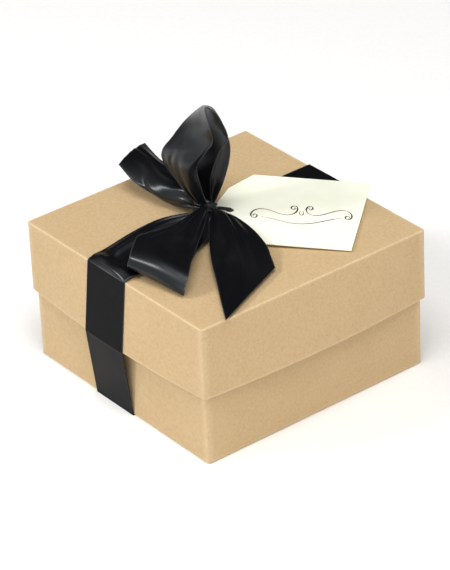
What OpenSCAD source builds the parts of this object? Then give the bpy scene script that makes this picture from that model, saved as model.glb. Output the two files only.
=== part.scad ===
// Two-piece gift box: a deep lid over a square base, both of chipboard wrapped in kraft
// paper, tied once round with a satin ribbon that ends in a hand-tied bow and a card tag.
// Origin: middle of the resting face, under the ribbon. +Z up. The ribbon runs along Y.

/* [Box] */
// Width and depth of the closed box, outside the lid
lid_w = 180; // [140:1:260]
// Height of the closed box, without the ribbon under it
box_h = 99; // [75:1:150]
// Depth of the lid, top face to lower edge
lid_h = 50; // [30:1:60]
// How far each lid wall bows out at the middle of its lower edge
lid_bow = 4.5; // [0.5:0.5:6]
// Thickness of the chipboard
board_t = 1.5; // [1:0.1:2.5]
// Thickness of the kraft paper that wraps and lines the board
paper_t = 0.15; // [0.1:0.05:0.3]
// Gap on each side between the base and the paper turned in behind the lid's edge
lid_play = 0.4; // [0.3:0.1:1.2]
// Height of the paper turned in over the rim
turn_in = 16; // [10:1:24]
// Radius of the upright corners, outside
corner_r = 1.6; // [1:0.1:3]
// Reach of a corner stay from the corner, along each wall
stay_w = 14; // [8:1:24]
// Thickness of the stay paper
stay_t = 0.1; // [0.05:0.05:0.2]

/* [Ribbon] */
// Width of the satin ribbon
ribbon_w = 38; // [32:1:44]
// Thickness of the ribbon
ribbon_t = 0.3; // [0.2:0.1:0.4]
// Place of the band across the box, from the middle
ribbon_x = -5; // [-10:1:5]
// How far the band drifts sideways between the lid's top and the floor
ribbon_lean = -2.5; // [-4:0.5:0]
// Space between the ribbon and what it slides along
slide_gap = 0.3; // [0.2:0.1:0.6]

/* [Bow] */
// Place of the knot across the box
knot_x = -10; // [-14:1:-6]
// Place of the knot along the band
knot_y = -4; // [-10:1:4]
// Height of the knot's middle above the lid
knot_rise = 10; // [9:0.5:13]
// Diameter of the knot
knot_d = 9; // [7:0.5:10]

/* [Tag] */
// Length of the tag, away from the knot
tag_l = 90; // [70:1:105]
// Width of the tag
tag_w = 86; // [60:1:90]
// Thickness of the card
tag_t = 0.7; // [0.4:0.1:1]
// Length of a clipped corner
clip_l = 13; // [8:1:20]
// Width of a clipped corner
clip_w = 20; // [10:1:24]
// How far the middle of the clipped end stands out towards the knot
end_lead = 4.6; // [0:0.2:5]
// Diameter of the punched hole
hole_d = 5; // [4.5:0.5:6]
// Hole's middle to the tag's clipped end
hole_in = 6; // [5.5:0.5:8]
// Hole's middle to the side of the knot, towards the tag's middle
hole_off = 10; // [8:1:14]
// Space between the knot's middle and the tag's clipped end
tag_gap = 5.3; // [5.2:0.1:7]
// Middle of the tag to the side of the knot
tag_off = 15; // [10:1:17]
// Direction of the tag, from the X axis
tag_turn = 41; // [36:1:46]
// Height of the tag's underside above the lid, at the knot
tag_rise = 3.2; // [3:0.1:4]
// Width of the narrow tie through the hole
tie_w = 3.6; // [2.5:0.1:4]
// Thickness of the tie
tie_t = 0.5; // [0.3:0.1:0.6]

/* [Hidden] */

kraft = [0.80, 0.67, 0.49];
board_grey = [0.62, 0.60, 0.56];
liner_tan = [0.84, 0.73, 0.56];
stay_cream = [0.90, 0.86, 0.76];
satin = [0.05, 0.05, 0.06];
card = [0.95, 0.96, 0.87];

wall_t = board_t + 2 * paper_t;             // wrap, board and liner or turn-in
base_w = lid_w - 2 * (wall_t + lid_play);   // base, outside
base_z = ribbon_t + slide_gap;              // underside of the base
lid_top = base_z + box_h;                   // top face of the lid
lid_rim = lid_top - lid_h;                  // lower edge of the lid
seat_gap = 0.2;                             // base rim to the lid's liner
base_h = box_h - wall_t - seat_gap;         // height of the base alone
wall_steps = 12;                            // straight steps along a bowed wall
bow_steps = 4;                              // straight steps down a bowed wall
corner_steps = 5;                           // straight steps round a corner
curve_steps = 4;                            // rings between two stations of a ribbon
cut = 1;                                    // how far a cutting solid runs past a face

// ---- Trays: the base is one, the lid is another turned over ----

function arc(cx, cy, r, from) =
    [for (i = [0:corner_steps]) let (a = from + 90 * i / corner_steps)
        [cx + r * cos(a), cy + r * sin(a)]];

// Wall along +X from its lower to its upper corner, bowed outwards by bow
function bowed_wall(half, r, bow) =
    let (reach = half - r)
    [for (i = [1:wall_steps - 1]) let (s = 2 * i / wall_steps - 1)
        [half + bow * (1 - s * s), s * reach]];

function turned(points, a) =
    [for (p = points) [p.x * cos(a) - p.y * sin(a), p.x * sin(a) + p.y * cos(a)]];

function outline(half, r, wall) =
    [for (k = [0:3]) each turned(concat(wall, arc(half - r, half - r, r, 0)), 90 * k)];

// Solid form of a tray inset from its outer faces, floor at 0 and rim at h
module tray_form(w, h, bow, inset) {
    half = w / 2 - inset;
    r = max(corner_r - inset, paper_t);
    if (bow > 0)
        bowed_form([for (k = [0:bow_steps])
            [for (p = outline(half, r, bowed_wall(half, r, bow * k / bow_steps))) [p.x, p.y, h * k / bow_steps]]]);
    else
        linear_extrude(h) polygon(outline(half, r, []));
}

// Solid through rings of as many points each, from the floor up to the rim
module bowed_form(rings) {
    n = len(rings[0]);
    last = len(rings) - 1;
    middles = [[0, 0, rings[0][0].z], [0, 0, rings[last][0].z]];
    sides = [for (k = [0:last - 1], i = [0:n - 1]) let (a = k * n + i, b = k * n + (i + 1) % n)
        each [[a, a + n, b + n], [a, b + n, b]]];
    floor_mid = n * (last + 1);
    caps = [for (i = [0:n - 1]) let (j = (i + 1) % n)
        each [[floor_mid, i, j], [floor_mid + 1, n * last + j, n * last + i]]];
    polyhedron(concat([for (ring = rings) each ring], middles), concat(sides, caps));
}

module tray_slice(w, h, bow, inset, z0, z1) {
    span = w + 2 * bow + 2 * cut;
    intersection() {
        tray_form(w, h, bow, inset);
        translate([-span / 2, -span / 2, z0]) cube([span, span, z1 - z0]);
    }
}

// Four upright corner zones, where the stays lie
module corner_zones(w, h) {
    for (sx = [-1, 1], sy = [-1, 1])
        translate([sx * w / 2, sy * w / 2, h / 2]) cube([2 * stay_w, 2 * stay_w, h + 2 * cut], center = true);
}

module tray_stays(w, h, bow) {
    intersection() {
        difference() {
            tray_slice(w, h, bow, paper_t, paper_t + board_t, h - paper_t - board_t);
            tray_form(w, h, bow, paper_t + stay_t);
        }
        corner_zones(w, h);
    }
}

module tray_board(w, h, bow) {
    difference() {
        tray_slice(w, h, bow, paper_t, paper_t, h - paper_t);
        tray_slice(w, h, bow, paper_t + board_t, paper_t + board_t, h);
        tray_stays(w, h, bow);
    }
}

module tray_wrap(w, h, bow) {
    difference() {
        tray_form(w, h, bow, 0);
        difference() {
            tray_slice(w, h, bow, paper_t, paper_t, h - paper_t);
            tray_slice(w, h, bow, paper_t + board_t, h - turn_in, h);
        }
        tray_slice(w, h, bow, wall_t, h - turn_in - cut, h + cut);
    }
}

module tray_liner(w, h, bow) {
    difference() {
        tray_slice(w, h, bow, paper_t + board_t, paper_t + board_t, h - turn_in);
        tray_slice(w, h, bow, wall_t, wall_t, h);
    }
}

module on_base() { translate([0, 0, base_z]) children(); }
module on_lid() { translate([0, 0, lid_top]) mirror([0, 0, 1]) children(); }

module base_board() { color(board_grey) on_base() tray_board(base_w, base_h, 0); }
module base_corner_stays() { color(stay_cream) on_base() tray_stays(base_w, base_h, 0); }
module base_wrap() { color(kraft) on_base() tray_wrap(base_w, base_h, 0); }
module base_liner() { color(liner_tan) on_base() tray_liner(base_w, base_h, 0); }

module lid_board() { color(board_grey) on_lid() tray_board(lid_w, lid_h, lid_bow); }
module lid_corner_stays() { color(stay_cream) on_lid() tray_stays(lid_w, lid_h, lid_bow); }
module lid_wrap() { color(kraft) on_lid() tray_wrap(lid_w, lid_h, lid_bow); }
module lid_liner() { color(liner_tan) on_lid() tray_liner(lid_w, lid_h, lid_bow); }

// ---- Ribbon: each stretch is a strip through stations, each [left edge, right edge] ----

function unit(v) = v / norm(v);

// Point at share s of the way from b to c on a smooth curve through a, b, c and d
function smooth(a, b, c, d, s) =
    0.5 * (2 * b + (c - a) * s + (2 * a - 5 * b + 4 * c - d) * s * s + (3 * b - a - 3 * c + d) * s * s * s);

function smooth_run(stations) =
    let (n = len(stations))
    [for (i = [0:n - 2], k = [0:curve_steps - 1 + (i == n - 2 ? 1 : 0)])
        [for (side = [0, 1])
            smooth(stations[max(i - 1, 0)][side], stations[i][side], stations[i + 1][side],
                   stations[min(i + 2, n - 1)][side], k / curve_steps)]];

function face_normal(run, i) =
    let (last = len(run) - 1, before = run[max(i - 1, 0)], after = run[min(i + 1, last)])
    unit(cross(after[0] + after[1] - before[0] - before[1], run[i][1] - run[i][0]));

module strip(run) {
    n = len(run);
    points = [for (i = [0:n - 1]) let (lift = face_normal(run, i) * ribbon_t / 2)
        each [run[i][0] + lift, run[i][1] + lift, run[i][1] - lift, run[i][0] - lift]];
    // Both faces split along the same diagonal, so a twisted strip keeps its thickness
    sides = [for (i = [0:n - 2], k = [0:3])
        let (a = 4 * i + k, b = 4 * i + (k + 1) % 4)
        each k == 2 ? [[a, b, a + 4], [b, b + 4, a + 4]] : [[a, b, b + 4], [a, b + 4, a + 4]]];
    last = 4 * (n - 1);
    ends = [[2, 1, 0], [3, 2, 0], [last, last + 1, last + 2], [last, last + 2, last + 3]];
    polyhedron(points, concat(sides, ends));
}

// Stations are drawn about the knot for a ribbon of this width, and spread with ribbon_w
drawn_w = 38;
knot = [knot_x, knot_y, lid_top + knot_rise];

function spread(stations) =
    [for (s = stations) let (middle = (s[0] + s[1]) / 2, half = (s[1] - s[0]) / 2 * ribbon_w / drawn_w)
        [knot + middle - half, knot + middle + half]];

ride = slide_gap + ribbon_t / 2;            // middle of the ribbon off the face it lies on
lid_edge = lid_w / 2 + ride;                // middle of the ribbon, out from the box's middle
rim_edge = lid_edge + lid_bow;
floor_edge = base_w / 2 + 2 * slide_gap;
under_end = floor_edge + ribbon_t;          // each end of the run under the base

// Side edges of the band at a height, on the side given by side = -1 or 1
function band(y, z) =
    let (x = ribbon_x + ribbon_lean * (lid_top - z) / lid_top)
    [[x - ribbon_w / 2, y, z], [x + ribbon_w / 2, y, z]];

module side_run(side) {
    strip([band(side * lid_edge, lid_top), band(side * rim_edge, lid_rim),
           band(side * floor_edge, base_z)]);
}

module ribbon_front_run() { color(satin) side_run(-1); }
module ribbon_back_run() { color(satin) side_run(1); }

module ribbon_under_run() {
    color(satin) translate([ribbon_x + ribbon_lean - ribbon_w / 2, -under_end, 0])
        cube([ribbon_w, 2 * under_end, ribbon_t]);
}

top_z = lid_top + ride;
// The front run rises like a tent from the lid's edge to the knot and gathers on the way
front_rise = [[[-16, -50, -5], [21, -50, -7]],
              [[-14, -30, -2.5], [13, -30, -5]],
              [[-8, -14, -2], [6, -14, -3.5]],
              [[-3, -5, -3], [3, -5, -3]]];
// The back run lies flat under the tag, gathers, and turns up into the knot
back_gather = [[-15, -3, 26], [-7, 3, 10]];  // each [left x, right x, y] from the knot
back_rise = [[[-3.5, 4.5, -8.6], [1.5, 4.5, -8.6]],
             [[-2.5, 2.8, -6], [1.5, 2.8, -6]],
             [[-2, 1.5, -3.5], [2, 1.5, -3.5]]];

module ribbon_top_front() {
    color(satin) strip(smooth_run(concat([band(-lid_edge + ride, top_z)], spread(front_rise))));
}

module ribbon_top_back() {
    flat = [for (g = back_gather)
        [[knot_x + g[0], knot_y + g[2], top_z], [knot_x + g[1], knot_y + g[2], top_z]]];
    middle_y = lid_w / 4;
    color(satin) strip(smooth_run(concat([band(lid_edge - ride, top_z), band(middle_y, top_z)],
                                         flat, spread(back_rise))));
}

// ---- Bow ----

module bow_knot() { color(satin) translate(knot) sphere(d = knot_d, $fn = 32); }

tall_loop = [[[-5, -2.5, 2], [0, -3.5, 3]],
             [[-18, -7, 11], [-1, -9, 15]],
             [[-30, -11, 24], [1, -9, 33]],
             [[-29, -13, 35], [7, -6, 45]],
             [[-25, -8, 44], [12, -4, 54]],
             [[-23, 1, 53], [12, -6, 66]],
             [[-23, 15, 58], [5, -5, 76]],
             [[-27, 25, 55], [5, 6, 67]],
             [[-29, 23, 45], [7, 12, 50]],
             [[-27, 27, 32], [5, 8, 42]],
             [[-18, 31, 23], [3, 5, 33]],
             [[-10, 22, 13], [4, 4, 20]],
             [[-2, 3.5, 2.5], [2, 1.5, 3.5]]];

front_loop = [[[-2.5, -3.5, 1], [3, -3, 1]],
              [[-4, -28, 6], [17, -20, 2]],
              [[-4, -48, 8.5], [33, -37, 2]],
              [[3, -62, 8], [43, -49, 1]],
              [[12, -74, 5.5], [54, -61, -2]],
              [[20, -81, 0], [62, -70, -7.2]],
              [[16, -75, -4], [57, -65, -8.6]],
              [[5, -55, -2.8], [39, -50, -8]],
              [[0, -36, -1], [24, -30, -5]],
              [[0, -14, -0.5], [7, -11, -2]],
              [[0, -4.5, -1], [4, -4, -1]]];

left_tail = [[[-4, -1.5, -1.5], [-4, 1, 0]],
             [[-18, -13, -2], [-18, -3, 6]],
             [[-38, -17, -1], [-40, 2, 12]],
             [[-56, -17, 4], [-62, 10, 10]],
             [[-72, -17, 9], [-88, 16, 6]]];

right_tail = [[[4, -1, -1], [3, 2, 0]],
              [[22, -14, -3], [22, 5, 2]],
              [[42, -29, -5], [38, 4, 1]],
              [[62, -43, -6], [52, 0, -2]],
              [[80, -55, -7], [64, -5, -5]],
              [[102, -69, -7], [73, -9, -6.5]]];

module bow_loop_tall() { color(satin) strip(smooth_run(spread(tall_loop))); }
module bow_loop_front() { color(satin) strip(smooth_run(spread(front_loop))); }
module bow_tail_left() { color(satin) strip(smooth_run(spread(left_tail))); }
module bow_tail_right() { color(satin) strip(smooth_run(spread(right_tail))); }

// ---- Tag: its own frame has X away from the knot, and its far end lies lower ----

far_rest = ride + ribbon_t / 2 + slide_gap;  // underside of the tag's far end above the lid
tag_far = tag_gap + tag_l;
tag_tilt = asin((tag_rise - far_rest) / tag_far);

module on_tag() {
    translate([knot_x, knot_y, lid_top + tag_rise]) rotate([0, tag_tilt, tag_turn]) children();
}

module tag_outline() {
    side = tag_w / 2;
    polygon([[tag_gap, side - clip_w], [tag_gap + clip_l, side], [tag_far, side],
             [tag_far, -side], [tag_gap + clip_l, -side], [tag_gap, clip_w - side],
             [tag_gap - end_lead, 0]]);
}

module tag_card() {
    color(card) on_tag() difference() {
        translate([0, tag_off, 0]) linear_extrude(tag_t) tag_outline();
        translate([tag_gap + hole_in, hole_off, -cut]) cylinder(d = hole_d, h = tag_t + 2 * cut, $fn = 48);
    }
}

// Flat loop of the tie: through the hole and round the card's pointed end
module tie_side(grow) {
    reach = tie_t / 2 + slide_gap;
    off_point = max(0, tag_off - hole_off - tie_w / 2);
    near_x = tag_gap - end_lead * (1 - off_point / (tag_w / 2 - clip_w)) - reach;
    far_x = tag_gap + hole_in;
    hull() for (x = [near_x, far_x]) translate([x, tag_t / 2]) circle(d = tag_t + 2 * slide_gap + grow, $fn = 32);
}

module tag_tie() {
    color(satin) on_tag() translate([0, hole_off + tie_w / 2, 0]) rotate([90, 0, 0]) linear_extrude(tie_w)
        difference() {
            tie_side(2 * tie_t);
            tie_side(0);
        }
}

base_board();
base_corner_stays();
base_wrap();
base_liner();
lid_board();
lid_corner_stays();
lid_wrap();
lid_liner();
ribbon_under_run();
ribbon_front_run();
ribbon_back_run();
ribbon_top_front();
ribbon_top_back();
bow_knot();
bow_loop_tall();
bow_loop_front();
bow_tail_left();
bow_tail_right();
tag_card();
tag_tie();
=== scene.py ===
"""Looks of a kraft gift box with a deep lid, tied once round with black satin ribbon.

The ribbon ends in a hand-tied bow, and an ivory card tag hangs from its knot. Metres, in the
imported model's frame: the ribbon rests at z = 0 and its band runs along Y over the lid.
"""

import math

import bmesh
import bpy
import numpy as np
from mathutils import Matrix, Quaternion, Vector


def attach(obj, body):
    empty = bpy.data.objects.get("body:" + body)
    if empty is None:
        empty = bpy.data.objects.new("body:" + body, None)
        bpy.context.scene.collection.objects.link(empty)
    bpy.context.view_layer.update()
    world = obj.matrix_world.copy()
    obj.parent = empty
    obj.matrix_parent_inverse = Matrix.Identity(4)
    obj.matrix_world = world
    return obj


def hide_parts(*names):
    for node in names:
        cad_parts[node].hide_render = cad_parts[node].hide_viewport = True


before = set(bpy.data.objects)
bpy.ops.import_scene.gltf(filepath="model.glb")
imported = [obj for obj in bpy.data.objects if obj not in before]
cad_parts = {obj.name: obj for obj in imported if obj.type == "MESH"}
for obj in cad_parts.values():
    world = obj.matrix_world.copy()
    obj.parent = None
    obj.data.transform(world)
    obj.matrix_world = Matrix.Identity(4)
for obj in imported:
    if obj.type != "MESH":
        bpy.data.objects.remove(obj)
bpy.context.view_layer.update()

MM = 0.001

# ---- Sizes, in millimetres unless a name says otherwise ----

LID_HALF = 90.0      # middle of the lid to its wall, at the fold
LID_TOP = 99.6
LID_RIM = 49.6       # height of the lid's lower edge
LID_BOW = 4.5        # how far the lid's walls bulge at the rim
BASE_HALF = 87.8
BASE_FLOOR = 0.6     # underside of the base, above the ribbon's lowest face
BASE_RIM = 97.6
WALL = 1.8           # board and paper together
PAPER = 0.15
CORNER_R = 1.6
TURN_IN = 16.0       # width of the paper folded in behind a rim

RIBBON_W = 38.0
RIBBON_T = 0.22
BAND_X = -5.0        # middle of the band on the lid
BAND_LEAN = -2.5     # how far the band drifts sideways on its way down to the floor
RIDE = 0.45          # the ribbon's middle layer above the paper it lies on
SELVEDGE_R = 0.28

KNOT = (-10.0, -4.0, 109.6)
WAIST_SHIFT = (-2.4, -1.8, 0.2)  # the wrapped waist sits a little off the knot's middle
WAIST_HALF = 4.9                 # half the height of the waist, along its axis
WAIST_R = (6.9, 4.9)             # its wide and narrow radius

TAG_TURN = math.radians(41)
TAG_RISE = 3.2       # underside of the card above the lid, at the knot
TAG_REST = 0.9       # and at its far end
TAG_NEAR = 5.3       # knot to the shoulders of the card's near end
TAG_FAR = 95.3
TAG_HALF = 43.0
TAG_OFF = 15.0       # middle of the card to the side of the knot
TAG_T = 0.7
CLIP_L = 13.0
CLIP_W = 20.0
END_LEAD = 4.6       # how far the near end's point stands out from its shoulders
HOLE_R = 2.5
HOLE_X = 11.3
HOLE_OFF = 10.0
TIE_W = 4.0
TIE_T = 0.55
TIE_GAP = 0.65       # the tie's middle layer off the card's faces
TAG_TILT = math.asin((TAG_RISE - TAG_REST) / TAG_FAR)

INK_W = 1.2          # the pen's fullest stroke
INK_T = 0.06
ORNAMENT_X = 57.0    # middle of the ornament, away from the knot

DARK_SIDE = (-0.75, 0.57, 0.34)  # way to the unlit end of the studio


# ---- Camera, light and floor ----

def studio_camera():
    data = bpy.data.cameras.new("studio_camera")
    data.sensor_width = 36.0
    data.lens = 206.1
    data.clip_end = 20.0
    camera = bpy.data.objects.new("studio_camera", data)
    bpy.context.scene.collection.objects.link(camera)
    aim = Vector((-0.683005, 0.51867, -0.514281))
    camera.location = (1.43043, -1.08815, 1.13329)
    camera.rotation_mode = "QUATERNION"
    camera.rotation_quaternion = aim.to_track_quat("-Z", "Y") @ Quaternion((0, 0, 1), math.radians(-2.71))
    bpy.context.scene.camera = camera


def soft_light(name, place, aim, size, watts, colour):
    data = bpy.data.lights.new(name, "AREA")
    data.shape = "DISK"
    data.size = size
    data.energy = watts
    data.color = colour
    lamp = bpy.data.objects.new(name, data)
    bpy.context.scene.collection.objects.link(lamp)
    lamp.location = place
    lamp.rotation_mode = "QUATERNION"
    lamp.rotation_quaternion = (Vector(aim) - Vector(place)).to_track_quat("-Z", "Y")


def studio_lights():
    middle = (0.0, 0.0, 0.05)
    soft_light("key_softbox", (-0.75, -1.45, 1.35), middle, 0.42, 18.5, (1.0, 0.985, 0.96))
    soft_light("top_softbox", (0.55, -0.35, 1.9), middle, 1.3, 25.0, (1.0, 0.99, 0.98))
    soft_light("front_fill", (1.8, -0.5, 1.0), middle, 1.2, 5.4, (1.0, 0.84, 0.62))
    world = bpy.data.worlds.new("studio_air")
    world.use_nodes = True
    t = Tree(world.node_tree)
    way = t.add("ShaderNodeTexCoord").outputs["Generated"]
    facing = t.add("ShaderNodeVectorMath", {0: way, 1: DARK_SIDE}, operation="DOT_PRODUCT")
    air = world.node_tree.nodes["Background"]
    air.inputs["Color"].default_value = (1.0, 1.0, 1.0, 1.0)
    t.put(air.inputs["Strength"], t.band(facing.outputs["Value"], 0.1, 0.78, 0.68, 0.03))
    bpy.context.scene.world = world


# ---- Small helpers for node trees ----

class Tree:
    """Adds nodes to a tree and links them in one line each."""

    def __init__(self, tree):
        self.tree = tree

    def add(self, kind, sockets=None, **settings):
        made = self.tree.nodes.new(kind)
        for key, value in settings.items():
            setattr(made, key, value)
        for key, value in (sockets or {}).items():
            self.put(made.inputs[key], value)
        return made

    def put(self, socket, value):
        if isinstance(value, bpy.types.NodeSocket):
            self.tree.links.new(value, socket)
        else:
            socket.default_value = value

    def math(self, operation, a, b=0.0, clamp=False):
        made = self.add("ShaderNodeMath", operation=operation, use_clamp=clamp)
        self.put(made.inputs[0], a)
        if len(made.inputs) > 1:
            self.put(made.inputs[1], b)
        return made.outputs[0]

    def noise(self, vector, scale, detail=3.0, roughness=0.55):
        return self.add("ShaderNodeTexNoise", {"Vector": vector, "Scale": scale, "Detail": detail,
                                               "Roughness": roughness}).outputs["Fac"]

    def stretch(self, vector, scale, turn=(0, 0, 0)):
        return self.add("ShaderNodeMapping", {"Vector": vector, "Scale": scale,
                                              "Rotation": turn}).outputs["Vector"]

    def band(self, value, low, high, to_low=0.0, to_high=1.0):
        made = self.add("ShaderNodeMapRange", {"Value": value, "From Min": low, "From Max": high,
                                               "To Min": to_low, "To Max": to_high})
        return made.outputs["Result"]

    def mix(self, factor, a, b):
        made = self.add("ShaderNodeMix", data_type="RGBA")
        self.put(made.inputs[0], factor)
        self.put(made.inputs[6], a)
        self.put(made.inputs[7], b)
        return made.outputs[2]

    def bump(self, height, strength, distance):
        return self.add("ShaderNodeBump", {"Height": height, "Strength": strength,
                                           "Distance": distance}).outputs["Normal"]


def finish_material(name, recipe, **sockets):
    """A Principled material: constant sockets are given here, patterns come from its recipe."""
    made = bpy.data.materials.new(name)
    made.use_nodes = True
    made.node_tree.nodes.clear()
    t = Tree(made.node_tree)
    shader = t.add("ShaderNodeBsdfPrincipled")
    out = t.add("ShaderNodeOutputMaterial")
    made.node_tree.links.new(shader.outputs["BSDF"], out.inputs["Surface"])
    for key, value in sockets.items():
        shader.inputs[key.replace("_", " ")].default_value = value
    recipe(t, shader)
    return made


def object_place(t):
    return t.add("ShaderNodeTexCoord").outputs["Object"]


def paper_recipe(pale, middle, dark, fold_pale=None, mottle=0.5):
    """Fibrous uncoated paper: soft mottling, short fibres, a few dark and light flecks."""

    def recipe(t, shader):
        place = object_place(t)
        cloud = t.noise(place, 38.0, 4.0, 0.6)
        grain = t.noise(t.stretch(place, (420.0, 700.0, 520.0)), 1.0, 4.0, 0.62)
        fibre = t.noise(t.stretch(place, (260.0, 1900.0, 1500.0), (0.2, 0.4, 0.55)), 1.0, 2.0, 0.5)
        fibre_b = t.noise(t.stretch(place, (1700.0, 300.0, 1300.0), (0.5, -0.3, -0.35)), 1.0, 2.0, 0.5)
        speck = t.noise(place, 1150.0, 1.0, 0.4)
        tone = t.math("ADD", t.band(cloud, 0.3, 0.7, 0.0, 0.45 * mottle),
                      t.band(grain, 0.32, 0.68, 0.0, 1.0 - 0.45 * mottle))
        colour = t.mix(tone, middle, pale)
        colour = t.mix(t.band(fibre, 0.62, 0.76, 0.0, 0.34), colour, pale)
        colour = t.mix(t.band(fibre_b, 0.64, 0.78, 0.0, 0.40), colour, dark)
        colour = t.mix(t.band(speck, 0.70, 0.80, 0.0, 0.55), colour, dark)
        if fold_pale is not None:
            fold = t.add("ShaderNodeAttribute", attribute_name="fold").outputs["Fac"]
            worn = t.math("MULTIPLY", fold, t.band(t.noise(place, 520.0, 3.0), 0.30, 0.62, 0.30, 0.62))
            colour = t.mix(worn, colour, fold_pale)
        t.put(shader.inputs["Base Color"], colour)
        t.put(shader.inputs["Roughness"], t.band(grain, 0.3, 0.7, 0.70, 0.84))
        fine = t.math("ADD", t.math("MULTIPLY", fibre, 0.6), t.math("MULTIPLY", grain, 0.8))
        t.put(shader.inputs["Normal"], t.bump(fine, 0.22, 0.00012))

    return recipe


def satin_recipe(t, shader):
    """Warp-faced satin: streaks along the ribbon, a painted highlight in lighter base colour along the
    selvedges, less gloss where it is pulled taut.
    """
    uv = t.add("ShaderNodeUVMap", uv_map="satin_uv").outputs["UV"]
    streak = t.noise(t.stretch(uv, (22.0, 2600.0, 1.0)), 1.0, 3.0, 0.6)
    slub = t.noise(t.stretch(uv, (900.0, 60.0, 1.0)), 1.0, 2.0, 0.5)
    thread = t.add("ShaderNodeTexWave", {"Vector": uv, "Scale": 1150.0, "Distortion": 0.6,
                                         "Detail": 1.0}, bands_direction="Y").outputs["Fac"]
    cloud = t.noise(t.stretch(uv, (40.0, 60.0, 1.0)), 1.0, 2.0, 0.5)
    tone = t.math("ADD", t.math("MULTIPLY", streak, 0.6), t.math("MULTIPLY", slub, 0.4))
    across = t.add("ShaderNodeSeparateXYZ", {0: uv}).outputs["Y"]
    from_edge = t.math("MINIMUM", across, t.math("SUBTRACT", RIBBON_W * MM, across))
    # Painted highlight: within about half a millimetre of each selvedge the base colour turns a lighter
    # grey, standing in for the light the woven edges catch.
    edge = t.band(from_edge, 0.0004, 0.0009, 1.0, 0.0)
    cloth = t.mix(t.band(tone, 0.3, 0.7), (0.0012, 0.0012, 0.0018, 1), (0.0034, 0.0035, 0.0046, 1))
    t.put(shader.inputs["Base Color"], t.mix(edge, cloth, (0.024, 0.025, 0.028, 1)))
    taut = t.add("ShaderNodeAttribute", attribute_name="taut").outputs["Fac"]
    t.put(shader.inputs["Specular IOR Level"], t.band(taut, 0.0, 1.0, 0.46, 0.05))
    wear = t.math("ADD", t.math("MULTIPLY", streak, 0.7), t.math("MULTIPLY", cloud, 0.3))
    t.put(shader.inputs["Roughness"], t.band(wear, 0.3, 0.7, 0.27, 0.38))
    weave = t.math("ADD", t.math("MULTIPLY", thread, 0.4), t.math("MULTIPLY", streak, 0.6))
    t.put(shader.inputs["Normal"], t.bump(weave, 0.16, 0.00006))


def card_recipe(t, shader):
    """Smooth ivory card with a faint felt-mark surface and a few fibres."""
    place = object_place(t)
    felt = t.noise(t.stretch(place, (520.0, 620.0, 560.0)), 1.0, 4.0, 0.6)
    cloud = t.noise(place, 55.0, 2.0)
    fibre = t.noise(t.stretch(place, (300.0, 1800.0, 900.0), (0.1, 0.2, 0.8)), 1.0, 2.0)
    colour = t.mix(t.band(cloud, 0.3, 0.7), (0.905, 0.930, 0.775, 1), (0.945, 0.965, 0.830, 1))
    colour = t.mix(t.band(fibre, 0.66, 0.80, 0.0, 0.30), colour, (0.80, 0.81, 0.66, 1))
    t.put(shader.inputs["Base Color"], colour)
    t.put(shader.inputs["Roughness"], t.band(felt, 0.3, 0.7, 0.52, 0.66))
    t.put(shader.inputs["Normal"], t.bump(felt, 0.14, 0.0001))


def ink_recipe(t, shader):
    """Brown-black writing ink that pools a little darker along its strokes."""
    pool = t.noise(object_place(t), 380.0, 3.0)
    t.put(shader.inputs["Base Color"], t.mix(t.band(pool, 0.3, 0.7), (0.030, 0.022, 0.018, 1),
                                             (0.125, 0.095, 0.075, 1)))
    t.put(shader.inputs["Roughness"], t.band(pool, 0.3, 0.7, 0.42, 0.60))


def floor_recipe(t, shader):
    """Seamless white paper sweep."""
    grain = t.noise(object_place(t), 260.0, 3.0)
    t.put(shader.inputs["Base Color"], t.mix(t.band(grain, 0.3, 0.7), (0.93, 0.93, 0.93, 1),
                                             (0.96, 0.96, 0.96, 1)))
    t.put(shader.inputs["Normal"], t.bump(grain, 0.05, 0.0001))


def all_materials():
    return {
        "kraft_paper": finish_material(
            "kraft_paper", paper_recipe((0.562, 0.415, 0.238, 1), (0.476, 0.334, 0.173, 1),
                                        (0.285, 0.175, 0.085, 1), (0.715, 0.565, 0.360, 1)),
            Specular_IOR_Level=0.25, Sheen_Weight=0.05, Sheen_Roughness=0.5),
        "lining_paper": finish_material(
            "lining_paper", paper_recipe((0.700, 0.545, 0.340, 1), (0.610, 0.455, 0.268, 1),
                                         (0.400, 0.270, 0.150, 1), None, 0.3),
            Specular_IOR_Level=0.2),
        "chipboard": finish_material(
            "chipboard", paper_recipe((0.430, 0.405, 0.355, 1), (0.330, 0.308, 0.268, 1),
                                      (0.150, 0.135, 0.115, 1), None, 0.8),
            Specular_IOR_Level=0.2),
        "stay_tape": finish_material(
            "stay_tape", paper_recipe((0.760, 0.690, 0.540, 1), (0.680, 0.605, 0.455, 1),
                                      (0.480, 0.410, 0.290, 1), None, 0.3),
            Specular_IOR_Level=0.3),
        "satin_ribbon": finish_material(
            "satin_ribbon", satin_recipe, Specular_Tint=(0.88, 0.95, 1.0, 1), Anisotropic=0.35,
            Sheen_Weight=0.018, Sheen_Roughness=0.3, Sheen_Tint=(0.75, 0.80, 0.86, 1)),
        "tag_card": finish_material("tag_card", card_recipe, Specular_IOR_Level=0.3),
        "pen_ink": finish_material("pen_ink", ink_recipe, Specular_IOR_Level=0.4),
        "white_sweep": finish_material("white_sweep", floor_recipe, Specular_IOR_Level=0.1),
    }


# ---- Mesh helpers ----

def mesh_object(name, points, faces, material):
    """A smooth-shaded mesh from points in millimetres."""
    mesh = bpy.data.meshes.new(name)
    mesh.from_pydata([tuple(c * MM for c in p) for p in points], [], faces)
    mesh.polygons.foreach_set("use_smooth", [True] * len(mesh.polygons))
    mesh.materials.append(material)
    obj = bpy.data.objects.new(name, mesh)
    bpy.context.scene.collection.objects.link(obj)
    return obj


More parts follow.
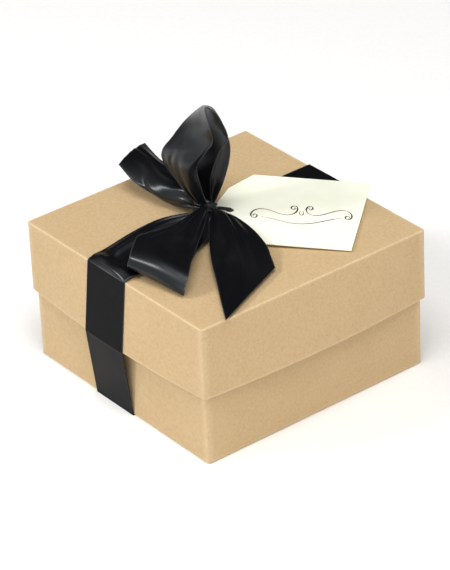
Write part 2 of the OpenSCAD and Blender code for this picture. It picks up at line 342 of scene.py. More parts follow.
def settle(obj):
    """Turn an object's live modifiers into a plain mesh."""
    bpy.context.view_layer.update()
    solid = bpy.data.meshes.new_from_object(obj.evaluated_get(bpy.context.evaluated_depsgraph_get()))
    obj.modifiers.clear()
    old = obj.data
    obj.data = solid
    solid.name = obj.name
    bpy.data.meshes.remove(old)
    return obj


def thicken(obj, thickness, offset):
    made = obj.modifiers.new("thickness", "SOLIDIFY")
    made.thickness = thickness * MM
    made.offset = offset
    made.use_even_offset = False
    return settle(obj)


def join_meshes(target, others):
    """Add the faces of other objects to target, and drop those objects."""
    whole = bmesh.new()
    for obj in [target, *others]:
        whole.from_mesh(obj.data)
    whole.to_mesh(target.data)
    whole.free()
    for obj in others:
        bpy.data.objects.remove(obj)
    return target


def new_tree(name, inputs):
    """A Geometry Nodes tree with named inputs, and its first and last nodes."""
    tree = bpy.data.node_groups.new(name, "GeometryNodeTree")
    tree.interface.new_socket("Geometry", in_out="INPUT", socket_type="NodeSocketGeometry")
    for label, kind, value in inputs:
        made = tree.interface.new_socket(label, in_out="INPUT", socket_type="NodeSocket" + kind)
        if value is not None:
            made.default_value = value
    tree.interface.new_socket("Geometry", in_out="OUTPUT", socket_type="NodeSocketGeometry")
    t = Tree(tree)
    return t, t.add("NodeGroupInput"), t.add("NodeGroupOutput")


def grow(obj, tree, **values):
    """Run a tree on obj with these inputs, and keep the result as obj's plain mesh."""
    made = obj.modifiers.new(tree.name, "NODES")
    made.node_group = tree
    for item in tree.interface.items_tree:
        if item.item_type == "SOCKET" and item.in_out == "INPUT" and item.name in values:
            made[item.identifier] = values[item.name]
    return settle(obj)


def end_tree(t, out, geometry, material):
    real = t.add("GeometryNodeRealizeInstances", {"Geometry": geometry})
    painted = t.add("GeometryNodeSetMaterial", {"Geometry": real.outputs[0], "Material": material})
    t.put(out.inputs["Geometry"], painted.outputs[0])


# ---- Paper-wrapped trays ----

def bowed_walls_tree():
    """Push each wall outwards: most at the middle of its rim, nothing at the corners and the fold."""
    t, start, out = new_tree("bowed_walls", [("Bow", "Float", 0.004), ("Half Width", "Float", 0.09),
                                             ("Fold Height", "Float", 0.1), ("Rim Height", "Float", 0.05),
                                             ("Material", "Material", None)])
    place = t.add("GeometryNodeInputPosition").outputs[0]
    split = t.add("ShaderNodeSeparateXYZ", {0: place})
    x, y, z = split.outputs
    depth = t.add("ShaderNodeMapRange", {"Value": z, "From Min": start.outputs["Fold Height"],
                                         "From Max": start.outputs["Rim Height"]}).outputs["Result"]
    along_x, along_y = t.math("ABSOLUTE", x), t.math("ABSOLUTE", y)
    on_x = t.math("GREATER_THAN", along_x, along_y)

    def push(across, outward, chosen):
        share = t.math("DIVIDE", across, start.outputs["Half Width"])
        arch = t.math("SUBTRACT", 1.0, t.math("MULTIPLY", share, share), clamp=True)
        size = t.math("MULTIPLY", t.math("MULTIPLY", arch, depth), start.outputs["Bow"])
        return t.math("MULTIPLY", t.math("MULTIPLY", size, t.math("SIGN", outward)), chosen)

    offset = t.add("ShaderNodeCombineXYZ", {"X": push(y, x, on_x),
                                            "Y": push(x, y, t.math("SUBTRACT", 1.0, on_x))})
    moved = t.add("GeometryNodeSetPosition", {"Geometry": start.outputs["Geometry"],
                                              "Offset": offset.outputs[0]})
    end_tree(t, out, moved.outputs[0], start.outputs["Material"])
    return t.tree


def square_ring(half, radius):
    """Points round a square with rounded corners, and how near each is to a corner."""
    steps, turns = 40, 6
    wall = [(half, s * (half - radius)) for s in np.linspace(-1, 1, steps + 1)[1:-1]]
    bend = [(half - radius + radius * math.cos(a), half - radius + radius * math.sin(a))
            for a in np.linspace(0, math.pi / 2, turns + 1)]
    side = wall + bend
    near = [0.0] * len(wall) + [1.0] * len(bend)
    ring, corner = [], []
    for k in range(4):
        c, s = round(math.cos(math.pi / 2 * k)), round(math.sin(math.pi / 2 * k))
        ring += [(x * c - y * s, x * s + y * c) for x, y in side]
        corner += near
    return ring, corner


def wrapped_tray(name, half, panel_z, rim_z, bow, trees, materials):
    """The kraft paper that wraps a board tray: over its panel, down its walls, round the rim and in."""
    height = abs(rim_z - panel_z)
    way = 1.0 if rim_z > panel_z else -1.0
    fold_r, rim_r = 0.5, 0.4
    rings = []  # inset from the outer face, depth from the panel, how much of a fold it is
    for share in (0.94, 0.78, 0.60, 0.42, 0.26, 0.14, 0.06):
        rings.append((half * share, 0.0, 0.0))
    for inset in (2.6, 1.7, 1.1, 0.8):
        rings.append((inset, 0.0, math.exp(-(inset - fold_r) / 0.5)))
    for a in np.linspace(0, math.pi / 2, 5):
        rings.append((fold_r * (1 - math.sin(a)), fold_r * (1 - math.cos(a)), 1.0))
    for depth in (0.8, 1.1, 1.7, 2.6):
        rings.append((0.0, depth, math.exp(-(depth - fold_r) / 0.5)))
    for share in np.linspace(0.08, 0.94, 12):
        rings.append((0.0, height * share, 0.0))
    for back in (2.2, 1.3, 0.8):
        rings.append((0.0, height - back, math.exp(-(back - rim_r) / 0.45)))
    for a in np.linspace(0, math.pi / 2, 4):
        rings.append((rim_r * (1 - math.cos(a)), height - rim_r * (1 - math.sin(a)), 1.0))
    for a in np.linspace(0, math.pi / 2, 4):
        rings.append((WALL - rim_r * (1 - math.sin(a)), height - rim_r * (1 - math.cos(a)), 1.0))
    for back in (1.6, 4.0, 8.0, 12.0, TURN_IN):
        rings.append((WALL, height - back, 0.0))
    points, folds = [], []
    for inset, depth, fold in rings:
        reach = half - inset
        ring, corner = square_ring(reach, min(max(CORNER_R - inset, 0.3), reach * 0.4))
        points += [(x, y, panel_z + way * depth) for x, y in ring]
        folds += [max(fold, 0.55 * c if inset < WALL and depth > 0 else 0.0) for c in corner]
    n = len(ring)
    faces = [(r * n + i, (r + 1) * n + i, (r + 1) * n + (i + 1) % n, r * n + (i + 1) % n)
             for r in range(len(rings) - 1) for i in range(n)]
    points.append((0.0, 0.0, panel_z))
    folds.append(0.0)
    faces += [(len(points) - 1, i, (i + 1) % n) for i in range(n)]
    if way > 0:
        faces = [tuple(reversed(f)) for f in faces]
    obj = mesh_object(name, points, faces, materials["kraft_paper"])
    obj.data.attributes.new("fold", "FLOAT", "POINT").data.foreach_set("value", folds)
    grow(obj, trees["bowed_walls"], **{"Bow": bow * MM, "Half Width": half * MM,
                                       "Fold Height": panel_z * MM, "Rim Height": rim_z * MM,
                                       "Material": materials["kraft_paper"]})
    return thicken(obj, PAPER, -1.0)


def make_box(trees, materials):
    for body, half, panel, rim, bow in (("base", BASE_HALF, BASE_FLOOR, BASE_RIM, 0.0),
                                        ("lid", LID_HALF, LID_TOP, LID_RIM, LID_BOW)):
        paper = wrapped_tray(body + "_kraft_wrap", half, panel, rim, bow, trees, materials)
        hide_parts(body + "_wrap")
        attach(paper, body)
        for node, finish in (("board", "chipboard"), ("corner_stays", "stay_tape"),
                             ("liner", "lining_paper")):
            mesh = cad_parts[f"{body}_{node}"].data
            mesh.materials.clear()
            mesh.materials.append(materials[finish])


# ---- Satin ribbon ----

def through(points, share):
    """Point at a share of the way along a smooth curve through the points, evenly spaced."""
    last = len(points) - 1
    place = min(max(share, 0.0), 1.0) * last
    i = min(int(place), last - 1)
    s = place - i
    a, b, c, d = (points[min(max(i + k, 0), last)] for k in (-1, 0, 1, 2))
    return 0.5 * (2 * b + (c - a) * s + (2 * a - 5 * b + 4 * c - d) * s * s
                  + (3 * b - a - 3 * c + d) * s ** 3)


def selvedge_tree():
    """A rolled edge along the edges marked as selvedge."""
    t, start, out = new_tree("rolled_selvedge", [("Edge Radius", "Float", 0.0002),
                                                 ("Material", "Material", None)])
    marked = t.add("GeometryNodeInputNamedAttribute", {"Name": "selvedge"}, data_type="BOOLEAN")
    line = t.add("GeometryNodeMeshToCurve", {"Mesh": start.outputs["Geometry"],
                                             "Selection": marked.outputs["Attribute"]})
    profile = t.add("GeometryNodeCurvePrimitiveCircle", {"Resolution": 6,
                                                         "Radius": start.outputs["Edge Radius"]})
    roll = t.add("GeometryNodeCurveToMesh", {"Curve": line.outputs[0], "Profile Curve": profile.outputs[0],
                                             "Fill Caps": True})
    smooth = t.add("GeometryNodeSetShadeSmooth", {"Geometry": roll.outputs[0]})
    end_tree(t, out, smooth.outputs[0], start.outputs["Material"])
    return t.tree


def strip_surface(rows, steps, straight, pleats, lean):
    """Grid of points of a strip through its rows, each (points across, pleat height), in millimetres.

    pleats is (count, phase, unevenness), and lean puts more of them on the strip's second side.
    """
    across, between = 5, 8
    net = [[through([Vector(p) for p in points], v) if len(points) > 2
            else Vector(points[0]).lerp(Vector(points[1]), v) for v in np.linspace(0, 1, across)]
           for points, _ in rows]
    heights = [Vector((height, 0, 0)) for _, height in rows]
    fine = between * (across - 1)
    shares = np.linspace(0, 1, (len(rows) - 1) * steps + 1)
    grid, lift = [], []
    for share in shares:
        if straight:
            place = share * (len(rows) - 1)
            i = min(int(place), len(rows) - 2)
            line = [net[i][k].lerp(net[i + 1][k], place - i) for k in range(across)]
            lift.append(heights[i].lerp(heights[i + 1], place - i).x)
        else:
            line = [through([row[k] for row in net], share) for k in range(across)]
            lift.append(max(0.0, through(heights, share).x))
        grid.append([through(line, v) for v in np.linspace(0, 1, fine + 1)])
    grid = np.array(grid)
    along = np.gradient(grid, axis=0)
    side = np.gradient(grid, axis=1)
    normal = np.cross(along, side)
    normal /= np.maximum(np.linalg.norm(normal, axis=2, keepdims=True), 1e-9)
    count, phase, uneven = pleats
    v = np.linspace(0, 1, fine + 1)[None, :]
    u = np.linspace(0, 1, len(shares))[:, None]
    warp = v + 0.35 / count * np.sin(2 * math.pi * (v * 1.3 + uneven + 0.8 * u))
    wave = np.sin(2 * math.pi * count * (warp + phase))
    wave = wave * (0.75 + 0.25 * np.cos(2 * math.pi * (v * 2 + uneven))) * (1 + lean * (2 * v - 1))
    flat_edges = np.minimum(1, 12 * v * (1 - v))
    return grid + normal * (wave * np.array(lift)[:, None] * flat_edges)[..., None]


def satin_strip(name, rows, trees, materials, at=(0.0, 0.0, 0.0), steps=10, straight=False,
                pleats=(3, 0.0, 0.2), lean=0.0, face=1, taut=0.0):
    """A stretch of satin ribbon with two rolled selvedges. Its rows are placed from the point at."""
    grid = strip_surface(rows, steps, straight, pleats, lean) + np.array(at)
    count, width = grid.shape[:2]
    lengths = np.concatenate([[0], np.cumsum(np.linalg.norm(np.diff(grid.mean(axis=1), axis=0), axis=1))])
    points = grid.reshape(-1, 3).tolist()
    faces = [(r * width + c, r * width + c + 1, (r + 1) * width + c + 1, (r + 1) * width + c)[::face]
             for r in range(count - 1) for c in range(width - 1)]
    obj = mesh_object(name, points, faces, materials["satin_ribbon"])
    mesh = obj.data
    uv = mesh.uv_layers.new(name="satin_uv")
    for loop in mesh.loops:
        r, c = divmod(loop.vertex_index, width)
        uv.data[loop.index].uv = (lengths[r] * MM, c / (width - 1) * RIBBON_W * MM)
    mesh.attributes.new("taut", "FLOAT", "POINT").data.foreach_set("value", [taut] * len(points))
    marked = mesh.attributes.new("selvedge", "BOOLEAN", "EDGE")
    for edge in mesh.edges:
        a, b = edge.vertices
        marked.data[edge.index].value = a % width == b % width and a % width in (0, width - 1)
    # The rolled selvedges come out with zero satin_uv, so the satin material paints them with the selvedge
    # highlight colour all over.
    roll = mesh_copy(obj, name + "_roll")
    grow(roll, trees["selvedge"], **{"Edge Radius": SELVEDGE_R * MM, "Material": materials["satin_ribbon"]})
    thicken(obj, RIBBON_T, 0.0)
    return join_meshes(obj, [roll]), lengths[-1]


def mesh_copy(obj, name):
    made = bpy.data.objects.new(name, obj.data.copy())
    bpy.context.scene.collection.objects.link(made)
    return made


def lay_ribbon(name, node, body, rows, trees, materials, held, rests_on, **shape):
    obj, run = satin_strip(name, rows, trees, materials, **shape)
    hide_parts(node)
    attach(obj, body)
    return obj


# A stretch of ribbon is a list of rows, one after another along it. A row holds points from one
# selvedge to the other and the height of its pleats. On the bow, points are set from the knot.

def band_row(y, z, crown=0.0):
    """A row straight across the band at a place on its way round the box."""
    x = BAND_X + BAND_LEAN * max(0.0, min(1.0, (LID_TOP - z) / LID_TOP))
    half = RIBBON_W / 2
    side = -1.0 if y < 0 else 1.0
    if crown:
        return ([(x - half, y, z), (x, y + side * crown, z), (x + half, y, z)], 0.0)
    return ([(x - half, y, z), (x + half, y, z)], 0.0)


def side_rows(side):
    """From the lid's edge down the lid, over its rim and down to the floor."""
    edge, rim, floor = LID_HALF + RIDE, LID_HALF + RIDE + LID_BOW, BASE_HALF + 0.6
    path = [(edge - 0.05, LID_TOP - 0.1), (edge + 0.1, LID_TOP - 1.5)]
    path += [(edge + LID_BOW * s, LID_TOP - s * (LID_TOP - LID_RIM)) for s in (0.25, 0.5, 0.75, 0.95)]
    path += [(rim + 0.02, LID_RIM), (rim - 0.25, LID_RIM - 1.4)]
    path += [(rim + (floor - rim) * s, LID_RIM + (BASE_FLOOR - LID_RIM) * s)
             for s in (0.15, 0.4, 0.7, 0.96)]
    path += [(floor, BASE_FLOOR)]
    return [band_row(side * y, z, 0.12 if 3 < i < len(path) - 1 else 0.0) for i, (y, z) in enumerate(path)]


def top_front_rows():
    """From the lid's edge the band puckers, rises like a tent and gathers into the knot."""
    return [([(-14, -86.4, -10.1), (24, -86.4, -10.1)], 0.0),
            ([(-14.1, -85.9, -9.3), (-5, -86.1, -9.0), (5, -86.4, -8.8), (14, -86.5, -8.7),
              (23.9, -86, -9.2)], 0.0),
            ([(-14.2, -84, -8.6), (-5, -84.6, -6.9), (5, -85, -6.3), (14, -85.2, -6.4),
              (23.8, -84, -8.2)], 0.0),
            ([(-14.4, -80.5, -7.9), (-5, -81, -4.9), (5, -81.5, -5.0), (14, -81, -4.7),
              (23.7, -80, -7.6)], 0.1),
            ([(-14.7, -75, -7.9), (-5, -75, -6.2), (5, -76, -7.0), (13, -75, -5.8), (23.4, -75, -8.2)], 0.3),
            ([(-15.2, -68, -7.4), (-6, -68, -4.6), (4, -68, -6.3), (12, -68, -5.7), (23, -68, -8.2)], 0.45),
            ([(-16, -50, -5), (-7, -50, -3.4), (3, -50, -5.2), (12, -50, -5.4), (21, -50, -7)], 0.6),
            ([(-14, -30, -2.5), (-1, -30, -3.4), (13, -30, -5)], 0.9),
            ([(-8, -14, -2), (6, -14, -3.5)], 1.2),
            ([(-3, -5, -3), (3, -5, -3)], 1.3)]


def top_back_rows():
    """Flat under the tag, then gathered and turned up into the knot."""
    return [([(-14, 94.4, -10.1), (24, 94.4, -10.1)], 0.0),
            ([(-14, 94.0, -9.7), (5, 94.1, -9.65), (24, 94.0, -9.7)], 0.0),
            ([(-14, 92.4, -9.5), (5, 92.4, -9.4), (24, 92.4, -9.5)], 0.0),
            ([(-14, 70, -9.5), (5, 70, -9.4), (24, 70, -9.5)], 0.0),
            ([(-14, 49, -9.45), (5, 49, -9.3), (24, 49, -9.45)], 0.1),
            ([(-15, 26, -9.0), (-3, 26, -8.9)], 0.55),
            ([(-7, 10, -8.9), (3, 10, -8.8)], 0.6),
            ([(-3.4, 4.2, -8.7), (0.9, 4.2, -8.7)], 0.45),
            ([(-2.6, 2.2, -6.6), (0.7, 2.0, -6.6)], 0.5),
            ([(-2, 0.9, -3.5), (1.6, 0.8, -3.5)], 0.8)]


def tall_loop_rows():
    """Up from the knot in front, over the peak, and down behind in a fold that turns outwards."""
    return [([(-4, -2.5, 1), (-1.5, -4.5, 3), (2.4, -2.5, 2.5)], 1.3),
            ([(-18, -7, 11), (-8, -11, 13.5), (3.2, -7, 15)], 1.2),
            ([(-30, -11, 24), (-20, -13, 27.5), (-6.5, -13.5, 32), (1, -9, 33)], 0.8),
            ([(-29, -13, 35), (-9, -11.5, 41.5), (7, -6, 45)], 0.3),
            ([(-25, -8, 44), (-4.8, -7.6, 50.6), (12, -4, 54)], 0.12),
            ([(-23, 1, 53), (-3.8, -4, 61), (12, -6, 66)], 0.0),
            ([(-23, 13, 58), (-8, 4.2, 67.8), (6, -4, 75.6)], 0.0),
            ([(-27, 21, 55), (-10.4, 15, 62.2), (6.5, 4.5, 68.5)], 0.1),
            ([(-29, 19, 46), (-10, 20, 47.5), (7, 12, 50)], 0.25),
            ([(-27, 13, 34), (-12, 19, 37), (3, 17.5, 40), (5, 8, 42)], 0.4),
            ([(-24, 8, 24), (-9, 16, 27), (6, 13.5, 30), (3, 4.5, 33)], 0.7),
            ([(-15, 3, 12), (-4, 9.5, 15), (7, 7, 18.5), (2, 0.5, 21)], 1.1),
            ([(-3, 1, 2.5), (0, 2.5, 3.5), (2, 0.5, 4)], 1.3)]


def front_loop_rows():
    """Out over the band, crisply over at its end, and back underneath."""
    return [([(-2.5, -3.5, 1), (0, -4, 2.5), (3, -3, 1)], 1.4),
            ([(5, -23.5, 3), (12, -22.5, 6.5), (19, -19.5, 1.5)], 0.85),
            ([(8.3, -41, 5.5), (22, -38, 8), (34, -36, 2.5)], 0.5),
            ([(7.5, -61, 7.2), (27, -56, 8.2), (45, -47.5, 3.4)], 0.18),
            ([(12.8, -69, 7.4), (33, -63.4, 8.0), (51.6, -55, 4.1)], 0.05),
            ([(17.3, -74.8, 6.2), (38.4, -68.9, 6.8), (57.8, -61.3, 3.2)], 0.0),
            ([(20.1, -78.2, 4.4), (41.6, -72.4, 4.5), (61.2, -65.4, 1.3)], 0.0),
            ([(20.8, -79.9, 1.8), (42.9, -74.6, 1.0), (62.8, -68.8, -2.6)], 0.0),
            ([(20.4, -80.8, -1.2), (42.6, -75.6, -3.8), (63.2, -71.2, -7.2)], 0.0),
            ([(17.5, -77, -3.4), (38, -71.5, -6.8), (58.5, -66.5, -9)], 0.0),
            ([(5, -55, -2.8), (39, -50, -8)], 0.0),
            ([(0, -36, -1), (27, -30, -6)], 0.3),
            ([(1, -22, -1), (22.4, -19.5, -5.2)], 0.6),
            ([(1, -12, -0.8), (14, -11.8, -3)], 0.9),
            ([(0, -4.5, -1), (4.5, -3.6, -1)], 1.2)]


def left_tail_rows():
    """A short stiff tail whose front edge is creased down and under near the knot."""
    return [([(-4, -1.5, -1.5), (-4, 1, 0)], 1.4),
            ([(-14, -5, -4), (-15, -8, -1), (-16.5, -6.5, 6.5), (-17, -2.5, 7.6), (-17, 2.5, 6.6)], 0.95),
            ([(-27, -8, -6), (-28.5, -11.5, -2.2), (-30, -9.5, 5.6), (-30, -3, 8.4), (-30, 3, 8.8)], 0.3),
            ([(-39, -12, -3), (-41.5, -15, 1.5), (-42.5, -10, 6.4), (-42.5, -2.5, 9.8),
              (-42, 4.5, 11)], 0.35),
            ([(-56, -17, 2.6), (-57.5, -9, 7.5), (-59, 0, 10.4), (-60.5, 7.6, 8.0)], 0.4),
            ([(-72, -17, 9), (-77.5, -6, 9.9), (-83, 5, 8.6), (-88, 16, 6)], 0.3)]


def right_tail_rows():
    """A long tail that widens over the lid and ends in a slanting cut."""
    return [([(4, -1, -1), (3, 2, 0)], 1.3),
            ([(14, -11, -2), (15, -2, 2), (16, 6, -0.8)], 1.1),
            ([(26.5, -21, -3), (28, -8, 2.2), (29, 5.5, -0.6)], 0.8),
            ([(45, -34, -5), (45, -15, 1.2), (43, 3.6, -1.2)], 0.4),
            ([(65, -46, -6), (61, -22, -2.0), (56.5, 0.6, -3.2)], 0.15),
            ([(82, -56.5, -7), (74.5, -31, -4.6), (66.5, -4, -5.3)], 0.0),
            ([(103.4, -69.3, -7.5), (90, -40, -7.2), (76.5, -9, -6.8)], 0.0)]


def make_ribbon(trees, materials):
    use = (trees, materials)
    under_x, under_y = BAND_X + BAND_LEAN, BASE_HALF + 0.9
    lay_ribbon("satin_under_run", "ribbon_under_run", "ribbon_under",
               [([(under_x - 19, y, 0.15), (under_x + 19, y, 0.15)], 0.0) for y in (-under_y, 0, under_y)],
               *use, held="stretched", rests_on=["base_kraft_wrap"], straight=True, taut=1.0)
    for side, name in ((-1, "front"), (1, "back")):
        lay_ribbon(f"satin_{name}_run", f"ribbon_{name}_run", "ribbon", side_rows(side), *use,
                   held="stretched", rests_on=["lid_kraft_wrap", "satin_under_run"], steps=3, straight=True,
                   face=-side, taut=1.0)
    lay_ribbon("satin_top_front", "ribbon_top_front", "ribbon", top_front_rows(), *use, at=KNOT,
               held="gathered", rests_on=["satin_knot", "lid_kraft_wrap"], pleats=(4, 0.1, 0.3))
    lay_ribbon("satin_top_back", "ribbon_top_back", "ribbon", top_back_rows(), *use, at=KNOT,
               held="gathered", rests_on=["satin_knot", "lid_kraft_wrap"], pleats=(4, 0.3, 0.1))
    lay_ribbon("satin_loop_tall", "bow_loop_tall", "ribbon", tall_loop_rows(), *use, at=KNOT,
               held="gathered", rests_on=["satin_knot"], pleats=(3, 0.15, 0.35), lean=0.75)
    lay_ribbon("satin_loop_front", "bow_loop_front", "ribbon", front_loop_rows(), *use, at=KNOT,
               held="gathered", rests_on=["satin_knot", "satin_top_front"], pleats=(3, 0.4, 0.6))
    lay_ribbon("satin_tail_left", "bow_tail_left", "ribbon", left_tail_rows(), *use, at=KNOT,
               held="gathered", rests_on=["satin_knot"], pleats=(4, 0.05, 0.5))
    lay_ribbon("satin_tail_right", "bow_tail_right", "ribbon", right_tail_rows(), *use, at=KNOT,
               held="gathered", rests_on=["satin_knot", "lid_kraft_wrap"], pleats=(3, 0.6, 0.8))


def make_knot(trees, materials):
    """Ribbon bunched to a quarter of its width and wrapped once round the waist of the bow."""
    axis = Vector((-0.15, 0.72, 0.68)).normalized()
    out = axis.cross(Vector((0.62, 0.78, 0.0))).normalized()
    side = out.cross(axis)
    waist = tuple(k + shift for k, shift in zip(KNOT, WAIST_SHIFT))
    wide, narrow = WAIST_R
    rows, turns = [], 28
    for k in range(turns + 1):
        a = 2 * math.pi * k / turns
        slack = 1 + 0.05 * math.sin(2 * a + 0.5)
        line = []
        for s, squeeze in ((-1, 0.52), (-0.8, 0.88), (0, 1.06), (0.8, 0.9), (1, 0.55)):
            lean = axis * (s * WAIST_HALF + 0.8 * math.sin(a + 0.4))
            turned = side * (wide * math.cos(a)) + out * (narrow * math.sin(a))
            line.append(lean + turned * squeeze * slack)
        rows.append((line, 1.15))
    return lay_ribbon("satin_knot", "bow_knot", "ribbon", rows, trees, materials, at=waist, held="gathered",
                      rests_on=["satin_loop_tall"], steps=2, straight=True, pleats=(7, 0.2, 0.4))


# ---- Tag, its tie and the pen flourish ----

def on_tag(x, y, z):
    """A point of the tag's own frame, X away from the knot and Y across it, in millimetres."""
    turn = Matrix.Rotation(TAG_TURN, 4, "Z") @ Matrix.Rotation(TAG_TILT, 4, "Y")
    return Vector((KNOT[0], KNOT[1], LID_TOP + TAG_RISE)) + turn @ Vector((x, y, z))


def make_card(materials):
    """Die-cut card: a blunt point between clipped corners, a punched hole, slightly softened edges."""
    low, high = TAG_OFF - TAG_HALF, TAG_OFF + TAG_HALF
    outline = [(TAG_NEAR, high - CLIP_W), (TAG_NEAR + CLIP_L, high), (TAG_FAR, high), (TAG_FAR, low),
               (TAG_NEAR + CLIP_L, low), (TAG_NEAR, low + CLIP_W), (TAG_NEAR - END_LEAD, TAG_OFF)]
    hole = [(HOLE_X + HOLE_R * math.cos(a), HOLE_OFF + HOLE_R * math.sin(a))
            for a in np.linspace(0, 2 * math.pi, 41)[:-1]]
    card = bmesh.new()
    for loop in (outline, hole):
        ring = [card.verts.new((x * MM, y * MM, 0)) for x, y in loop]
        for i, v in enumerate(ring):
            card.edges.new((v, ring[(i + 1) % len(ring)]))
    bmesh.ops.triangle_fill(card, use_beauty=True, use_dissolve=False, edges=card.edges[:])
    card.faces.ensure_lookup_table()
    if card.faces[0].normal.z < 0:
        bmesh.ops.reverse_faces(card, faces=card.faces[:])
    pulled = bmesh.ops.extrude_face_region(card, geom=card.faces[:])
    for v in pulled["geom"]:
        if isinstance(v, bmesh.types.BMVert):
            v.co.z += TAG_T * MM
    bmesh.ops.recalc_face_normals(card, faces=card.faces[:])
    rims = [e for e in card.edges if len(e.link_faces) == 2 and e.calc_face_angle() > 1.2]
    bmesh.ops.bevel(card, geom=rims, offset=0.14 * MM, segments=2, profile=0.6, affect="EDGES")
    mesh = bpy.data.meshes.new("ivory_card")
    card.to_mesh(mesh)
    card.free()
    for v in mesh.vertices:
        v.co = on_tag(*(v.co / MM)) * MM
    mesh.materials.append(materials["tag_card"])
    obj = bpy.data.objects.new("ivory_card", mesh)
    bpy.context.scene.collection.objects.link(obj)
    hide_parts("tag_card")
    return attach(obj, "tag")


def band_tree():
    """A flat band with rounded edges along a path, its width turned to the path's "across" direction."""
    t, start, out = new_tree("band_along_path", [("Width", "Float", 0.004), ("Thickness", "Float", 0.0005),
                                                 ("Material", "Material", None)])
    line = t.add("GeometryNodeMeshToCurve", {"Mesh": start.outputs["Geometry"]})
    across = t.add("GeometryNodeInputNamedAttribute", {"Name": "across"}, data_type="FLOAT_VECTOR")
    turned = t.add("GeometryNodeSetCurveNormal", {"Curve": line.outputs[0],
                                                  "Normal": across.outputs["Attribute"]}, mode="FREE")
    oval = t.add("GeometryNodeCurvePrimitiveCircle", {"Resolution": 14, "Radius": 0.5})
    size = t.add("ShaderNodeCombineXYZ", {"X": start.outputs["Width"], "Y": start.outputs["Thickness"],
                                          "Z": 1.0})
    profile = t.add("GeometryNodeTransform", {"Geometry": oval.outputs[0], "Scale": size.outputs[0]})
    swell = t.add("GeometryNodeInputNamedAttribute", {"Name": "swell"}, data_type="FLOAT")
    body = t.add("GeometryNodeCurveToMesh", {"Curve": turned.outputs[0],
                                             "Profile Curve": profile.outputs[0],
                                             "Fill Caps": True, "Scale": swell.outputs["Attribute"]})
    smooth = t.add("GeometryNodeSetShadeSmooth", {"Geometry": body.outputs[0]})
    end_tree(t, out, smooth.outputs[0], start.outputs["Material"])
    return t.tree


def bands_on_paths(name, paths, across, swells, width, thickness, closed, trees, material):
    """Run the band tree along each path, in millimetres, swelling by a factor at each of its points."""
    points, edges = [], []
    for path in paths:
        n, first = len(path), len(points)
        points += [tuple(Vector(p) * MM) for p in path]
        edges += [(first + i, first + (i + 1) % n) for i in range(n if closed else n - 1)]
    mesh = bpy.data.meshes.new(name)
    mesh.from_pydata(points, edges, [])
    turned = mesh.attributes.new("across", "FLOAT_VECTOR", "POINT")
    turned.data.foreach_set("vector", list(across) * len(points))
    fullness = mesh.attributes.new("swell", "FLOAT", "POINT")
    fullness.data.foreach_set("value", [w for swell in swells for w in swell])
    obj = bpy.data.objects.new(name, mesh)
    bpy.context.scene.collection.objects.link(obj)
    return grow(obj, trees["band"], **{"Width": width * MM, "Thickness": thickness * MM,
                                       "Material": material})


def make_tie(trees, materials):
    """Narrow satin tie: up through the punched hole, over the card's clipped end and back under it."""
    off_point = (TAG_OFF - HOLE_OFF - TIE_W / 2) / (TAG_HALF - CLIP_W)
    card_end = TAG_NEAR - END_LEAD * (1 - off_point)
    near, far, mid = card_end - TIE_T, HOLE_X, TAG_T / 2
    lift, turns, steps = TAG_T / 2 + TIE_GAP, 12, 5
    path = []
    # half a turn round each end, then a straight run to the other: above the card first, then below
    for centre, goal, start, above, crown in ((far, near, -90, 1, 0.35), (near, far, 90, -1, 0.105)):
        for k in range(turns + 1):
            a = math.radians(start + 180 * k / turns)
            path.append((centre + lift * 0.9 * math.cos(a), HOLE_OFF, mid + lift * math.sin(a)))
        for k in range(1, steps):
            puff = lift + crown * math.sin(math.pi * k / steps)
            path.append((centre + (goal - centre) * k / steps, HOLE_OFF, mid + above * puff))
    side = tuple((on_tag(0, 1, 0) - on_tag(0, 0, 0)).normalized())
    obj = bands_on_paths("satin_tie", [[on_tag(*p) for p in path]], side, [[1.0] * len(path)], TIE_W,
                         TIE_T, True, trees, materials["satin_ribbon"])
    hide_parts("tag_tie")
    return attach(obj, "tag")


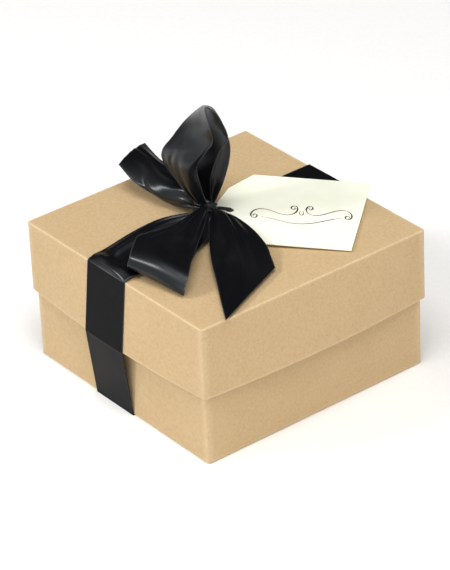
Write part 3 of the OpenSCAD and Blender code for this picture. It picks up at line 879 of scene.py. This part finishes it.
def pen_strokes():
    """A mirrored pen ornament: a scroll to each side, a bow under both and a drop between them."""
    step, heading, x, y = 0.25, math.radians(24), 0.0, 0.0
    mid_x = 17.5  # where each scroll's two arms meet
    arm = [(x, y)]
    for length, first, last in ((9.0, 0.0, -0.10), (8.0, -0.10, -0.24), (13.0, -0.24, -1.0)):
        count = int(length / step)
        for k in range(count):
            heading += step * (first + (last - first) * k / count)
            x += step * math.cos(heading)
            y += step * math.sin(heading)
            arm.append((x, y))
    scroll = [(mid_x - px, -py) for px, py in reversed(arm[1:])] + [(mid_x + px, py) for px, py in arm]
    under = [(27 * t, -7.5 - 2.2 * math.cos(math.pi * t) + 1.4 * abs(t) ** 3)
             for t in np.linspace(-1, 1, 90)]
    drop = [(1.3 * math.sin(a), 1.9 * math.cos(a) - 0.5) for a in np.linspace(0, 2 * math.pi, 24)]
    return [scroll, [(-px, py) for px, py in scroll], under, drop]


def make_flourish(trees, materials):
    """Fine ink lines, thin on the up strokes and full on the down strokes."""
    slant, tall, fade = math.radians(6), 1.5, 14
    paths, swells = [], []
    for stroke in pen_strokes():
        path, swell, last = [], [], len(stroke) - 1
        for i, (x, y) in enumerate(stroke):
            ahead, behind = stroke[min(i + 1, last)], stroke[max(i - 1, 0)]
            way = math.atan2(ahead[1] - behind[1], ahead[0] - behind[0])
            taper = min(1.0, (i + 1) / fade, (last - i + 1) / fade)
            swell.append(taper * (0.42 + 0.58 * abs(math.sin(way + 0.5)) ** 1.5))
            u = ORNAMENT_X + x * math.cos(slant) - tall * y * math.sin(slant)
            v = TAG_OFF - 1 + x * math.sin(slant) + tall * y * math.cos(slant)
            path.append(on_tag(u, v, TAG_T + INK_T / 3))
        paths.append(path)
        swells.append(swell)
    up = tuple((on_tag(0, 0, 1) - on_tag(0, 0, 0)).normalized())
    obj = bands_on_paths("ink_flourish", paths, up, swells, INK_T, INK_W, False, trees,
                         materials["pen_ink"])
    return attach(obj, "tag")


def make_floor(materials):
    """Plain pale sweep under the object, not part of it."""
    reach, cells = 4000.0, 24
    ticks = np.linspace(-reach, reach, cells + 1)
    points = [(x, y, -0.05) for y in ticks for x in ticks]
    faces = [(r * (cells + 1) + c, r * (cells + 1) + c + 1, (r + 1) * (cells + 1) + c + 1,
              (r + 1) * (cells + 1) + c) for r in range(cells) for c in range(cells)]
    mesh_object("studio_sweep", points, faces, materials["white_sweep"])


def main():
    studio_camera()
    studio_lights()
    bpy.context.scene.view_settings.view_transform = "Standard"
    materials = all_materials()
    trees = {"bowed_walls": bowed_walls_tree(), "selvedge": selvedge_tree(), "band": band_tree()}
    make_floor(materials)
    make_box(trees, materials)
    make_ribbon(trees, materials)
    make_knot(trees, materials)
    make_card(materials)
    make_tie(trees, materials)
    make_flourish(trees, materials)


main()
